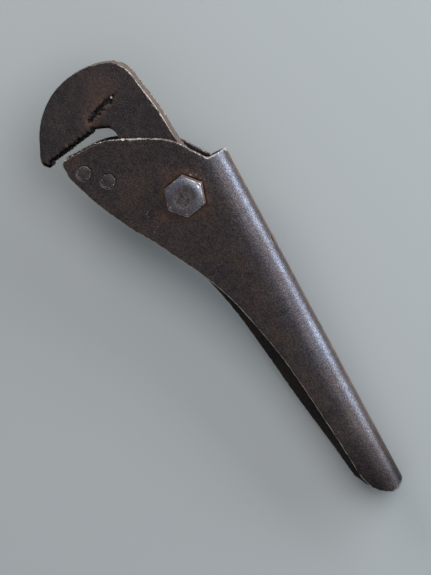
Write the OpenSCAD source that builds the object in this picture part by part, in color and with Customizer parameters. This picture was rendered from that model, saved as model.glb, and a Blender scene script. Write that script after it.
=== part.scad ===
// Small pressed-steel pipe wrench: a folded sheet handle holds a fixed toothed
// heel jaw, and a forged hook jaw that turns on a hexagon bolt between its cheeks.
// Millimetres. X runs along the handle towards the jaws, Y towards the open side
// of the jaws, and Z towards the bolt head. The origin is on the pivot axis, in
// the end face of the bolt.

/* [Sheet handle] */
// Thickness of the folded steel sheet
sheet_t = 2.4; // [2:0.1:3]
// Pivot to the rounded end of the handle
handle_len = 140; // [115:1:170]
// Pivot to the outside of the folded back
back_y = 21.3; // [19.5:0.1:27]
// Pivot to the front end of the folded back
back_front_x = 9; // [6:0.2:11]
// Pivot to the front edge of the cheeks
cheek_x = 34; // [33.4:0.1:35.4]
// Pivot to the highest point of the cheeks
cheek_y = 37.7; // [36:0.1:39]
// How much further the far cheek's grip edge stands out than the near one's
far_flare = 6.5; // [2:0.1:8]

/* [Hook jaw] */
// Thickness of the forged hook
hook_t = 9.5; // [8:0.1:11.5]
// Gap between the hook and each cheek
side_gap = 0.3; // [0.2:0.05:0.5]
// Radius of the hook's round back
hook_r = 29.7; // [26:0.1:30.5]
// Radius of the eye around the pivot
eye_r = 10; // [9.2:0.1:11.5]
// Number of teeth along the hook
hook_teeth = 9; // [7:1:12]
// Depth of the hook's teeth
hook_tooth_h = 1.1; // [0.6:0.1:1.6]

/* [Heel jaw] */
// Number of teeth on the heel jaw
heel_teeth = 7; // [5:1:9]
// Depth of the heel jaw's teeth
heel_tooth_h = 1.2; // [0.6:0.1:1.6]
// How far the heel's teeth stand out in front of the cheeks
heel_proud = 0.3; // [0.1:0.1:0.8]
// Gap between the closed hook and the heel's underside, which stops it
stop_gap = 0.35; // [0.3:0.05:0.6]

/* [Bolt, nut and washer] */
// Bolt diameter
bolt_d = 9.52; // [8:0.02:10]
// Bolt length under the head
bolt_len = 25.4; // [24:0.1:32]
// Size across the flats of the bolt head and the nut
hex_af = 14.29; // [13.6:0.01:17]
// Height of the bolt head
head_h = 6.35; // [5:0.05:8]
// Height of the thin nut
nut_h = 5.5; // [4.6:0.1:7]
// Thickness of the lock washer
washer_t = 2.4; // [2:0.1:3]
// Outside diameter of the lock washer
washer_d = 17; // [15.6:0.1:20]

/* [Bushing and rivets] */
// Outside diameter of the pivot bushing
bushing_d = 12.7; // [12:0.1:15]
// Diameter of the shanks of the two heel rivets
rivet_d = 4.8; // [4:0.1:5.6]
// Diameter of the hammered heads of the heel rivets
rivet_head_d = 6; // [5.8:0.1:7]

/* [Jaw spring] */
// Thickness of the leaf spring
spring_t = 0.9; // [0.7:0.1:1.2]
// Width of the leaf spring
spring_w = 6; // [5:0.1:7]
// Diameter of the small rivet that holds the spring
spring_rivet_d = 3; // [2.5:0.1:3.5]

/* [Hidden] */
$fn = 64;

running_gap = 0.07;   // hook bore around the bushing, on the radius
bolt_gap = 0.12;      // bolt shank in the cheeks and the bushing, on the radius
thread_gap = 0.04;    // bolt in the nut, on the radius
rivet_gap = 0.03;     // rivets in their holes, on the radius
over = 1;             // how far a cutter runs past a face
hex_turn = 42;        // angle that the bolt was left at when it was tightened

// Heights of the faces, from the bolt's end upwards
inner_gap = hook_t + 2 * side_gap;
z_far = bolt_len - inner_gap - 2 * sheet_t;
z_far_in = z_far + sheet_t;
z_near_in = z_far_in + inner_gap;
z_near = z_near_in + sheet_t;
z_mid = (z_far + z_near) / 2;
z_washer = z_far - washer_t;
z_nut = z_washer - nut_h;

// The half-round fold of the back
fold_r = (z_near - z_far) / 2;
fold_y = fold_r - back_y;
fold_in_r = inner_gap / 2;

// The heel's teeth, its underside and its two rivets
heel_face_x = cheek_x + heel_proud;
heel_low = 21.6;
heel_high = 35.6;
stop_y = 13.3 + stop_gap;
rear_rivet_at = [18.8, 24.3];
front_rivet_at = [25.8, 31.2];
rivet_dome = 0.25;
rivet_sink = 0.8;     // depth of the countersink that the head fills

// The hook's round back and its line of teeth
hook_c = [32, 14.7];
hook_tip = [35.7, 40.3];
hook_throat = [38.5, 21.1];

// The spring's two ends along the channel
spring_back_x = -38;
spring_tip_x = 7.5;
spring_flat = 14;     // length that lies against the back
spring_rivet_x = spring_back_x + spring_flat / 2;
spring_seat_y = fold_y - sqrt(pow(fold_in_r, 2) - pow(spring_w / 2, 2)) + 0.02;
spring_touch_gap = 0.02;

// ---- Curves ----

// Points along an arc, from angle a0 to angle a1
function arc(c, r, a0, a1, n) =
    [for (i = [0:n]) c + r * [cos(a0 + (a1 - a0) * i / n), sin(a0 + (a1 - a0) * i / n)]];

// One point of the smooth curve between b and c, whose neighbours are a and d
function blend_pt(a, b, c, d, t) =
    0.5 * (2 * b + (c - a) * t + (2 * a - 5 * b + 4 * c - d) * t * t
           + (3 * b - a - 3 * c + d) * t * t * t);

// A smooth curve through all the points p, in n steps from each to the next
function smooth(p, n) =
    let (m = len(p) - 1)
    [for (i = [0:m - 1], k = [0:n - 1])
        blend_pt(p[max(i - 1, 0)], p[i], p[i + 1], p[min(i + 2, m)], k / n), p[m]];

// A row of n teeth from point a to point b; the tips stand h to the left of it
function teeth(a, b, n, h) =
    let (step = (b - a) / n, side = [-(b - a)[1], (b - a)[0]] / norm(b - a))
    [for (i = [0:n - 1], k = [0:2])
        a + step * (i + [0, 0.42, 0.62][k]) + side * h * [0, 1, 1][k], b];

// A place at fraction f of the handle's length, behind the pivot
function back_x(f) = -f * handle_len;

// ---- Sheet handle ----

// Front edge of both cheeks, from the fold's corner up to the mouth
function cheek_front() = smooth([
    [back_front_x, fold_y - 0.2], [14.9, -9.8], [18.8, -7.3], [22.7, -3.2], [26.1, 2.2],
    [29.2, 8.5], [31.7, 13.8], [cheek_x - 0.5, 19.2], [cheek_x, 24.5],
    [cheek_x - 0.1, cheek_y - 3.4]], 3);

// Rounded front corner and the top edge back to the pivot
function cheek_top() = concat(
    arc([cheek_x - 2.2, cheek_y - 2.2], 2.0, 12, 84, 4),
    smooth([[cheek_x - 7.4, cheek_y - 0.3], [22.7, cheek_y - 1.4],
            [11.1, cheek_y - 5.7], [-0.6, cheek_y - 11.5]], 3));

// Grip edge from the pivot back to the tail; flare widens it over the handle
function grip_edge(flare) = smooth([
    [back_x(0.07), 20.5 + 0.08 * flare], [back_x(0.14), 15.2 + 0.17 * flare],
    [back_x(0.22), 9.3 + 0.37 * flare], [back_x(0.31), 4.1 + 0.65 * flare],
    [back_x(0.4), 0.8 + 0.8 * flare], [back_x(0.52), -2.7 + flare],
    [back_x(0.64), -4.7 + flare], [back_x(0.8), -6.7 + 0.8 * flare],
    [back_x(0.92), -7.9 + 0.65 * flare]], 3);

// Rounded end of the handle
function tail_edge(flare) = smooth([
    [back_x(0.963), -9.8 + 0.5 * flare], [back_x(0.987), -13.3 + 0.25 * flare],
    [back_x(1), -17.2], [back_x(0.994), -back_y + 1.6], [back_x(0.98), -back_y]], 3);

module cheek_plan(flare) {
    polygon(concat([[back_front_x, -back_y]], cheek_front(), cheek_top(),
                   grip_edge(flare), tail_edge(flare)));
}

// Cross-section of the fold, open towards the mouth side, drawn in (y, z)
module fold_section() {
    length = back_y + cheek_y + 10;
    difference() {
        union() {
            translate([fold_y, z_mid])
                circle(r = fold_r);
            translate([fold_y, z_far])
                square([length, z_near - z_far]);
        }
        translate([fold_y, z_mid])
            circle(r = fold_in_r);
        translate([fold_y, z_far_in])
            square([length + over, inner_gap]);
    }
}

// A hole down through both cheeks
module cheek_hole(at, r) {
    translate([at[0], at[1], z_far - over])
        cylinder(r = r, h = z_near - z_far + 2 * over);
}

// The countersinks at both ends of a heel rivet's hole
module countersinks(at, gap) {
    small_r = rivet_d / 2 + gap;
    big_r = rivet_head_d / 2 + gap;
    translate([at[0], at[1], z_near - rivet_sink])
        cylinder(r1 = small_r, r2 = big_r, h = rivet_sink);
    translate([at[0], at[1], z_far])
        cylinder(r1 = big_r, r2 = small_r, h = rivet_sink);
}

module handle_shell() {
    color("#3a3433")
    difference() {
        intersection() {
            rotate([90, 0, 90])
                translate([0, 0, -handle_len - over])
                    linear_extrude(handle_len + cheek_x + 2 * over)
                        fold_section();
            union() {
                translate([0, 0, z_mid])
                    linear_extrude(z_near - z_mid + over)
                        cheek_plan(0);
                translate([0, 0, z_far - over])
                    linear_extrude(z_mid - z_far + over)
                        cheek_plan(far_flare);
            }
        }
        cheek_hole([0, 0], bolt_d / 2 + bolt_gap);
        for (at = [rear_rivet_at, front_rivet_at]) {
            cheek_hole(at, rivet_d / 2 + rivet_gap);
            countersinks(at, rivet_gap);
        }
        // hole for the spring's rivet, countersunk from outside
        translate([spring_rivet_x, -back_y - over, z_mid])
            rotate([-90, 0, 0])
                cylinder(d = spring_rivet_d + 2 * rivet_gap, h = sheet_t + 2 * over + 2);
        translate([spring_rivet_x, -back_y, z_mid])
            rotate([-90, 0, 0])
                cylinder(r1 = spring_rivet_d / 2 + 1 + rivet_gap,
                         r2 = spring_rivet_d / 2 + rivet_gap, h = 1);
    }
}

// ---- Heel jaw and its rivets ----

module heel_jaw() {
    root_x = heel_face_x - heel_tooth_h;
    color("#4a423e")
    difference() {
        translate([0, 0, z_far_in])
            linear_extrude(inner_gap)
                polygon(concat(
                    [[13.9, stop_y], [29, stop_y], [30.8, stop_y + 1.9],
                     [cheek_x - 1.2, 19.6]],
                    [for (p = teeth([root_x, heel_high], [root_x, heel_low],
                                    heel_teeth, heel_tooth_h))
                        [p[0], heel_high + heel_low - p[1]]],
                    [[cheek_x - 2.6, cheek_y - 1.9], [cheek_x - 7, cheek_y - 1.2],
                     [22.4, cheek_y - 2.4], [13.6, cheek_y - 5.8], [12.4, 27.2],
                     [12.4, 17.2]]));
        for (at = [rear_rivet_at, front_rivet_at])
            cheek_hole(at, rivet_d / 2 + rivet_gap);
    }
}

// A rivet through both cheeks and the heel jaw, hammered flush at both ends
module heel_rivet(at) {
    color("#5a504b") {
        translate([at[0], at[1], z_far])
            cylinder(d = rivet_d, h = z_near - z_far);
        countersinks(at, 0);
        translate([at[0], at[1], z_near])
            rivet_cap();
        translate([at[0], at[1], z_far])
            mirror([0, 0, 1])
                rivet_cap();
    }
}

// The low dome that hammering leaves on a rivet
module rivet_cap() {
    r = rivet_head_d / 2;
    ball_r = (r * r + rivet_dome * rivet_dome) / (2 * rivet_dome);
    intersection() {
        translate([0, 0, rivet_dome - ball_r])
            sphere(r = ball_r, $fn = 128);
        cylinder(r = r, h = 2 * rivet_dome);
    }
}

module rear_rivet() {
    heel_rivet(rear_rivet_at);
}

module front_rivet() {
    heel_rivet(front_rivet_at);
}

// ---- Hook jaw ----

module hook_plan() {
    back_edge = smooth([[6, -eye_r + 0.75], [12.4, -8], [21.4, -6.5], [30.4, -6.1],
                        [37.9, -5.3], [45.7, -3.9], [52.6, -2.8], [56.2, -0.8]], 3);
    nose = smooth([[41, 43.3], [38.6, 44.4], [36, 44.9], [34, 43.5], [33.4, 42.1],
                   hook_tip], 3);
    throat = smooth([[38.3, 19.8], [37.7, 18.1], [36.9, 16.1], [35.8, 14.4],
                     [34.1, 13.5], [31.8, 13.3]], 3);
    union() {
        circle(r = eye_r);
        polygon(concat([[0, -4], [2, -eye_r + 0.25]], back_edge,
                       arc(hook_c, hook_r, -26, 68, 18), nose,
                       teeth(hook_tip, hook_throat, hook_teeth, -hook_tooth_h),
                       throat, [[23.4, 13.1], [12, 11.4], [2, eye_r - 0.22], [0, 4]]));
    }
}

module hook_jaw() {
    color("#37312f")
    difference() {
        translate([0, 0, z_far_in + side_gap])
            linear_extrude(hook_t)
                hook_plan();
        translate([0, 0, z_far_in])
            cylinder(r = bushing_d / 2 + running_gap, h = inner_gap);
    }
}

// ---- Pivot ----

module pivot_bushing() {
    color("#7d6a4a")
    translate([0, 0, z_far_in])
        difference() {
            cylinder(d = bushing_d, h = inner_gap);
            translate([0, 0, -over])
                cylinder(d = bolt_d + 2 * bolt_gap, h = inner_gap + 2 * over);
        }
}

// A plain hexagon prism
module hexagon(h) {
    rotate(hex_turn)
        cylinder(d = hex_af / cos(30), h = h, $fn = 6);
}

// The 30 degree cone that turns down a hexagon's corners at height h
module turned_cone(h) {
    top_r = hex_af / 2 - 0.35;
    cylinder(r1 = top_r + h / tan(30), r2 = top_r, h = h);
}

module pivot_bolt() {
    point_h = 0.8;
    color("#6a6563") {
        difference() {
            translate([0, 0, z_near])
                intersection() {
                    hexagon(head_h);
                    turned_cone(head_h);
                }
            // shallow dished forging mark on the head
            translate([0, 0, z_near + head_h - 0.3])
                cylinder(d1 = 8.6, d2 = 9.4, h = 0.3 + over);
        }
        translate([0, 0, point_h])
            cylinder(d = bolt_d, h = z_near - point_h + 0.5);
        cylinder(d1 = bolt_d - 1.6, d2 = bolt_d, h = point_h);
    }
}

module lock_washer() {
    split = 1.6;
    color("#55504d")
    translate([0, 0, z_washer])
        difference() {
            cylinder(d = washer_d, h = washer_t);
            translate([0, 0, -over])
                cylinder(d = bolt_d + 0.6, h = washer_t + 2 * over);
            rotate(-50)
                translate([0, -split / 2, -over])
                    cube([washer_d, split, washer_t + 2 * over]);
        }
}

// The nut's hexagon is turned down at both faces
module pivot_nut() {
    color("#5f5a57")
    translate([0, 0, z_nut])
        difference() {
            intersection() {
                hexagon(nut_h);
                turned_cone(nut_h);
                translate([0, 0, nut_h])
                    mirror([0, 0, 1])
                        turned_cone(nut_h);
            }
            translate([0, 0, -over])
                cylinder(d = bolt_d + 2 * thread_gap, h = nut_h + 2 * over);
        }
}

// ---- Jaw spring ----

// Middle line of the leaf: flat on the back, then bowed up to the hook
function spring_line() =
    let (y0 = spring_seat_y + spring_t / 2,
         x1 = spring_back_x + spring_flat,
         touch = -eye_r + 0.55 - spring_touch_gap - spring_t / 2)
    concat([[spring_back_x, y0]],
           smooth([[x1, y0], [x1 + 9, y0 + 1.1], [-6, touch - 3.1], [1.5, touch - 0.75],
                   [spring_tip_x - 1.6, touch], [spring_tip_x, touch - 0.35]], 4));

// The direction across a line of points at point i
function across(p, i) =
    let (d = p[min(i + 1, len(p) - 1)] - p[max(i - 1, 0)])
    [-d[1], d[0]] / norm(d);

module jaw_spring() {
    line = spring_line();
    last = len(line) - 1;
    half = spring_t / 2;
    color("#4d4a4c")
    difference() {
        translate([0, 0, z_mid - spring_w / 2])
            linear_extrude(spring_w)
                polygon(concat([for (i = [0:last]) line[i] - half * across(line, i)],
                               [for (i = [last:-1:0]) line[i] + half * across(line, i)]));
        translate([spring_rivet_x, spring_seat_y - over, z_mid])
            rotate([-90, 0, 0])
                cylinder(d = spring_rivet_d + 2 * rivet_gap, h = spring_t + 2 * over);
    }
}

module spring_rivet() {
    head_y = spring_seat_y + spring_t;
    color("#5a504b")
    translate([spring_rivet_x, 0, z_mid])
        rotate([-90, 0, 0]) {
            translate([0, 0, -back_y + 0.15])
                cylinder(d = spring_rivet_d, h = head_y + back_y + 0.2);
            translate([0, 0, -back_y + 0.15])
                cylinder(r1 = spring_rivet_d / 2 + 0.85, r2 = spring_rivet_d / 2, h = 0.85);
            translate([0, 0, head_y])
                cylinder(r1 = spring_rivet_d / 2 + 0.9, r2 = spring_rivet_d / 2 + 0.5, h = 1);
        }
}

handle_shell();
heel_jaw();
front_rivet();
rear_rivet();
hook_jaw();
pivot_bushing();
pivot_bolt();
lock_washer();
pivot_nut();
jaw_spring();
spring_rivet();
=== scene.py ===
# %% [markdown]
# # An old pressed-steel pipe wrench
# The wrench is a folded sheet of steel with a forged hook jaw that swings on a bolt. Its solids,
# its joint and its real size come ready made in a frame. This script gives each piece its worn
# shape and its finish, piece by piece, and never moves anything.

# %% Load the frame
import math

import bpy
import numpy as np
from mathutils import Matrix, Vector
from mathutils.kdtree import KDTree


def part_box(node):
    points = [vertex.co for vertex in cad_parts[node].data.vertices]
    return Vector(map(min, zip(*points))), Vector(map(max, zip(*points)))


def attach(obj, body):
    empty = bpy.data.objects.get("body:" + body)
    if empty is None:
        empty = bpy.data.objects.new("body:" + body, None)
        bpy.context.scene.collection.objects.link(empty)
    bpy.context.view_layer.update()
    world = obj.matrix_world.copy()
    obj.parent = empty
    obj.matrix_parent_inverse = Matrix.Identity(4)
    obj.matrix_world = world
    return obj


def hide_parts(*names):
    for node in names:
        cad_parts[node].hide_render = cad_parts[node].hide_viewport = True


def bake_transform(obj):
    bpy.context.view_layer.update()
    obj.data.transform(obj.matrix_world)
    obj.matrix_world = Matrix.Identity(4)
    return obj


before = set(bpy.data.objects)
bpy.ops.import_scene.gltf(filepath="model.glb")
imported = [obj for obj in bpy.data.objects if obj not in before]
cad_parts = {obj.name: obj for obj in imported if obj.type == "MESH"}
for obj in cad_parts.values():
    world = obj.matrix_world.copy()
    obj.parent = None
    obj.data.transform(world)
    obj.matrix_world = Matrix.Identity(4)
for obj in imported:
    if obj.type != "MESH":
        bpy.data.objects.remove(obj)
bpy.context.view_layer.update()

MM = 0.001  # the frame is in metres
print("pieces in the frame:", sorted(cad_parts))

# %% [markdown]
# ## Camera
# The wrench lies on its side and is looked at almost straight down, a little from behind its
# folded back, with the handle running down to the right. A long lens from over a metre away keeps
# the handle from shrinking towards its end.

# %% Camera
camera_at = Vector((68.6, -214.7, 1235.5)) * MM
camera_target = Vector((-37.6, 8.4, 18)) * MM
camera_up = Vector((0.8771, -0.4530, -0.1595))


def aim(thing, at, target, up):
    """Puts a camera or a light at a place, looking at a target, with up towards its top edge."""
    back = (at - target).normalized()
    right = up.cross(back).normalized()
    thing.matrix_world = Matrix.Translation(at) @ Matrix(
        (right, back.cross(right), back)).transposed().to_4x4()


camera = bpy.data.objects.new("camera", bpy.data.cameras.new("camera"))
camera.data.lens = 200  # a long lens, in millimetres
camera.data.clip_start = 0.01
bpy.context.scene.collection.objects.link(camera)
aim(camera, camera_at, camera_target, camera_up)
bpy.context.scene.camera = camera
print("camera is", round((camera_at - camera_target).length, 3), "m from the handle")

# %% [markdown]
# ## Floor
# The wrench doesn't lie level. It stands on the end of its bolt and on the last bit of the handle,
# so the floor is tipped to touch both, which keeps the shadow tight at the handle's end.

# %% Floor
BOLT_END_R = 4.7 * MM  # the rim of the bolt's end that touches the floor
TAIL_IN = 1.5 * MM  # how far in from the handle's end the sheet touches the floor
FLOOR_GAP = 0.2 * MM  # keeps the floor just clear of the steel
bolt_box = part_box("pivot_bolt")
shell_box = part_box("handle_shell")
bolt_rim = Vector((-BOLT_END_R, 0, bolt_box[0][2]))
tail_foot = Vector((shell_box[0][0] + TAIL_IN, 0, shell_box[0][2]))
lean = math.atan2(tail_foot.z - bolt_rim.z, bolt_rim.x - tail_foot.x)


def deselect():
    """Nothing stays selected, so the next operator acts on its own piece only."""
    if bpy.context.mode != "OBJECT":
        bpy.ops.object.mode_set(mode="OBJECT")
    bpy.ops.object.select_all(action="DESELECT")


deselect()
bpy.ops.mesh.primitive_plane_add(size=6, location=bolt_rim - Vector((0, 0, FLOOR_GAP)))
floor = bpy.context.object
floor.name = "floor"
floor.rotation_euler = (0, lean, 0)
print("floor leans", round(math.degrees(lean), 2), "degrees")

# %% [markdown]
# ## Light
# A pale sky from all round gives the soft shadow that stays close to the wrench. One long, low
# window stands on the side of the folded back: the round fold mirrors it as a pale band that runs
# the whole length of the handle, and the flat faces mirror only the dimmer sky. A skylight above
# it lights the floor.

# %% Lights
LIGHTS_AIM = Vector((-0.03, 0.0, 0.01))


def softbox(name, at, size, watts, colour):
    """A rectangular area light that faces the wrench, its long side level."""
    lamp = bpy.data.objects.new(name, bpy.data.lights.new(name, "AREA"))
    lamp.data.shape = "RECTANGLE"
    lamp.data.size, lamp.data.size_y = size
    lamp.data.energy = watts
    lamp.data.color = colour
    bpy.context.scene.collection.objects.link(lamp)
    aim(lamp, Vector(at), LIGHTS_AIM, Vector((0, 0, 1)))
    return lamp


window = softbox("window", (0.08, -0.90, 0.235), (1.2, 0.38), 10, (0.80, 0.90, 1.0))
skylight = softbox("skylight", (0.12, -0.56, 0.88), (1.0, 0.6), 4.5, (0.90, 0.95, 1.0))
door = softbox("door", (1.3, 0.1, 0.5), (0.7, 0.4), 6, (1.0, 0.94, 0.86))
print("lights:", window.name, skylight.name, door.name)

# %% Sky
sky = bpy.data.worlds.new("sky")
sky.use_nodes = True
sky_light = sky.node_tree.nodes["Background"]
sky_light.inputs["Color"].default_value = (0.78, 0.86, 0.95, 1)
sky_light.inputs["Strength"].default_value = 0.38
bpy.context.scene.world = sky
bpy.context.scene.view_settings.view_transform = "Standard"
print("the sky's strength is", round(sky_light.inputs["Strength"].default_value, 2))

# %% [markdown]
# ## Folded handle
# One sheet of 2.4 mm steel, cut to its outline, folded round a bar and left as it came from the
# press. Like every piece it begins as a copy, since the CAD itself is never changed, and the
# copy's loose triangles are joined into one skin.

# %% Folded handle: one skin


def take(obj):
    """Selects one object and makes it the active one."""
    deselect()
    obj.select_set(True)
    bpy.context.view_layer.objects.active = obj
    return obj


def merged_copy(node, name):
    """A copy of a CAD node whose loose triangles are joined into one skin."""
    obj = bpy.data.objects.new(name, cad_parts[node].data.copy())
    obj.data.materials.clear()
    bpy.context.scene.collection.objects.link(obj)
    take(obj)
    bpy.ops.object.mode_set(mode="EDIT")
    bpy.ops.mesh.select_all(action="SELECT")
    bpy.ops.mesh.remove_doubles(threshold=0.002 * MM)
    bpy.ops.object.mode_set(mode="OBJECT")
    bpy.ops.mesh.customdata_custom_splitnormals_clear()
    return obj


handle = merged_copy("handle_shell", "folded_handle")
print(handle.name, "starts with", len(handle.data.polygons), "faces")

# %% [markdown]
# Edges are where steel is rubbed bare, so points are set along the sharp edges before anything
# rounds them. The rims of holes that a rivet or the bolt fills are left out.

# %% Folded handle: sharp edges
FILLED_HOLE_R = 4.5 * MM


def sharp_points(obj, step=0.35 * MM, angle=30):
    """Points along every edge where two faces meet at more than the angle."""
    mesh = obj.data
    normals = {}
    for face in mesh.polygons:
        for key in face.edge_keys:
            normals.setdefault(key, []).append(face.normal)
    points = []
    for (a, b), sides in normals.items():
        if len(sides) == 2 and sides[0].angle(sides[1], 0) < math.radians(angle):
            continue
        start, end = mesh.vertices[a].co, mesh.vertices[b].co
        count = max(1, int((end - start).length / step))
        points += [start.lerp(end, i / count) for i in range(count + 1)]
    return points


holes = [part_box(node) for node in ("front_rivet", "rear_rivet", "spring_rivet", "pivot_bushing")]
hole_centres = [((low[0] + high[0]) / 2, (low[1] + high[1]) / 2) for low, high in holes]
handle_edges = [p for p in sharp_points(handle)
                if min(math.hypot(p.x - x, p.y - y) for x, y in hole_centres) > FILLED_HOLE_R]
print("handle has", len(handle_edges), "points along its sharp edges")

# %% [markdown]
# Old steel has no knife edges. The copy is remeshed into small even faces, and a few passes of
# smoothing round its edges the way years of use do. The small faces leave room for nicks, dents
# and scale. The pressed faces are not quite flat, so shallow hollows follow.

# %% Folded handle: small faces and waviness


def apply(obj, kind, **settings):
    """Adds one modifier with its settings and applies it."""
    take(obj)
    bpy.ops.object.modifier_add(type=kind)
    modifier = obj.modifiers[-1]
    for key, value in settings.items():
        setattr(modifier, key, value)
    bpy.ops.object.modifier_apply(modifier=modifier.name)
    return obj


def small_faces(obj, size_mm, passes):
    """Remeshes a solid into small even faces and rounds its edges."""
    apply(obj, "REMESH", mode="VOXEL", voxel_size=size_mm * MM, adaptivity=0)
    apply(obj, "SMOOTH", factor=0.5, iterations=passes)
    take(obj)
    bpy.ops.object.shade_smooth()
    return obj


def uneven(obj, name, width_mm, depth_mm):
    """Presses shallow hollows into a surface; it never swells past its old size."""
    clouds = bpy.data.textures.new(name, "CLOUDS")
    clouds.noise_scale = width_mm * MM
    apply(obj, "DISPLACE", texture=clouds, texture_coords="LOCAL",
          strength=depth_mm * MM, mid_level=1.0)
    bpy.data.textures.remove(clouds)


small_faces(handle, 0.55, 2)
uneven(handle, "sheet waviness", 18, 0.14)
uneven(handle, "sheet grain", 1.5, 0.05)
print("handle is remeshed into", len(handle.data.polygons), "faces")

# %% [markdown]
# Wear follows the shape. So each vertex keeps a few numbers that the materials read later, and
# the first is its distance to the nearest sharp edge.

# %% Folded handle: distance to the edges


def edge_distance(obj, points):
    """Keeps each vertex's distance to the nearest sharp edge, in millimetres."""
    tree = KDTree(len(points))
    for i, point in enumerate(points):
        tree.insert(point, i)
    tree.balance()
    far = [tree.find(v.co)[2] / MM for v in obj.data.vertices]
    layer = obj.data.attributes.new("edge_mm", "FLOAT", "POINT")
    layer.data.foreach_set("value", np.array(far, np.float32))


edge_distance(handle, handle_edges)
print("edge distance is kept on", len(handle.data.vertices), "vertices")

# %% [markdown]
# Smoothing has sunk the rims of the rivet holes, but a hammered rivet sits flush in its sheet. So
# the rims of the heel jaw's rivets are levelled on both faces.

# %% Folded handle: rims round the heel jaw's rivets
FLUSH = 0.03  # mm that a levelled rim stays inside the CAD face


def coordinates(obj):
    """All vertex places of a mesh, as an array in millimetres."""
    flat = np.empty(len(obj.data.vertices) * 3)
    obj.data.vertices.foreach_get("co", flat)
    return flat.reshape(-1, 3) / MM


near_top = shell_box[1][2] / MM
far_low = shell_box[0][2] / MM
places = coordinates(handle)
for x, y in hole_centres[:2]:
    rim = np.hypot(places[:, 0] - x / MM, places[:, 1] - y / MM)
    lip = (rim > 3.0) & (rim < 4.2)
    places[lip & (places[:, 2] > near_top - 0.6), 2] = near_top - FLUSH
    places[lip & (places[:, 2] < far_low + 0.6), 2] = far_low + FLUSH
    print("rim at", round(x / MM, 1), round(y / MM, 1), "has", int(lip.sum()), "vertices")

# %% [markdown]
# The spring's rivet sits in the round fold, so its rim goes to the fold's own radius.

# %% Folded handle: rim in the fold
fold_z = (shell_box[0][2] + shell_box[1][2]) / 2 / MM
fold_r = near_top - fold_z
fold_y = shell_box[0][1] / MM + fold_r
from_axis = np.hypot(places[:, 1] - fold_y, places[:, 2] - fold_z)
rim = np.hypot(places[:, 0] - hole_centres[2][0] / MM, places[:, 2] - fold_z)
lip = (rim > 1.9) & (rim < 3.4) & (places[:, 1] < fold_y - 3) & (from_axis > fold_r - 0.9)
outward_by = np.where(lip, (fold_r - FLUSH) / from_axis, 1)
places[:, 1] = fold_y + (places[:, 1] - fold_y) * outward_by
places[:, 2] = fold_z + (places[:, 2] - fold_z) * outward_by
print("the fold's outer radius is", round(fold_r, 2), "mm")

# %% [markdown]
# A sheet doesn't pass from flat to round at once. It eases into its bend over a few millimetres,
# and that gives the pale band along the fold its soft edge.

# %% Folded handle: the bend eases in
FOLD_EASE = 3.5  # mm on each side of the bend's start over which the sheet begins to curve
around = np.arctan2(fold_y - places[:, 1], np.abs(places[:, 2] - fold_z))
along = np.where(places[:, 1] < fold_y, around * fold_r, fold_y - places[:, 1])
eased = np.clip(along, -FOLD_EASE, FOLD_EASE)
sunk = np.where(eased < 0, (eased + FOLD_EASE) ** 3,
                2 * FOLD_EASE ** 3 + (eased - FOLD_EASE) ** 3) / (12 * FOLD_EASE * fold_r)
rest_of_fold = math.pi / 2 * fold_r - FOLD_EASE
sunk *= 0.5 + 0.5 * np.cos(math.pi * np.clip((along - FOLD_EASE) / rest_of_fold, 0, 1))
towards_axis = np.minimum(places[:, 1] - fold_y, 0)
from_bend = np.hypot(towards_axis, places[:, 2] - fold_z)
places[:, 1] -= sunk * towards_axis / from_bend
places[:, 2] -= sunk * (places[:, 2] - fold_z) / from_bend
print("the sheet eases into its fold by up to", round(float(sunk.max()), 2), "mm")

# %% [markdown]
# The front edge of the near cheek has been hit and carries small burrs, and the handle's end has
# met the ground, so a few places along them are pushed in.

# %% Folded handle: dents


def set_coordinates(obj, places):
    """Writes the vertex places back."""
    obj.data.vertices.foreach_set("co", (places * MM).ravel())
    obj.data.update()


def bump_at(places, centre, radius):
    """1 at a place on the piece and 0 beyond the radius, with a soft shoulder."""
    near = np.clip(1 - np.linalg.norm(places - np.array(centre), axis=1) / radius, 0, 1)
    return near ** 2 * (3 - 2 * near)


# the middle of each dent, its radius, and how far its middle is pushed, all in millimetres
dents = [((27.6, 3.6, near_top - 0.6), 1.5, (-0.5, 0.5, -0.7)),
         ((26.1, 1.2, near_top - 0.4), 1.2, (-0.5, 0.4, -0.4)),
         ((30.8, 14.2, near_top - 1.0), 1.5, (-0.6, 0.1, 0)),
         ((33.6, 22.4, near_top - 0.8), 1.0, (-0.4, 0, 0)),
         ((33.8, 27.2, near_top - 0.8), 0.9, (-0.4, 0, 0)),
         ((33.9, 30.4, near_top - 0.8), 1.0, (-0.5, 0, -0.1)),
         ((-134.5, -11.4, near_top - 0.8), 1.4, (0.3, -0.4, -0.2))]
for centre, radius, push in dents:
    places += bump_at(places, centre, radius)[:, None] * np.array(push)
set_coordinates(handle, places)
print("handle is dented in", len(dents), "places")

# %% [markdown]
# The wear comes next, one number per vertex for each kind. The first is bright metal: burrs on the
# front edge, and small flecks on the cheek near the bolt. These are real bare metal, painted near
# white as glints.

# %% Folded handle: bright flecks


def keep(obj, name, values):
    """Stores one number between 0 and 1 per vertex for the materials to read."""
    layer = obj.data.attributes.new(name, "FLOAT", "POINT")
    layer.data.foreach_set("value", np.clip(values, 0, 1).astype(np.float32))


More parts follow.
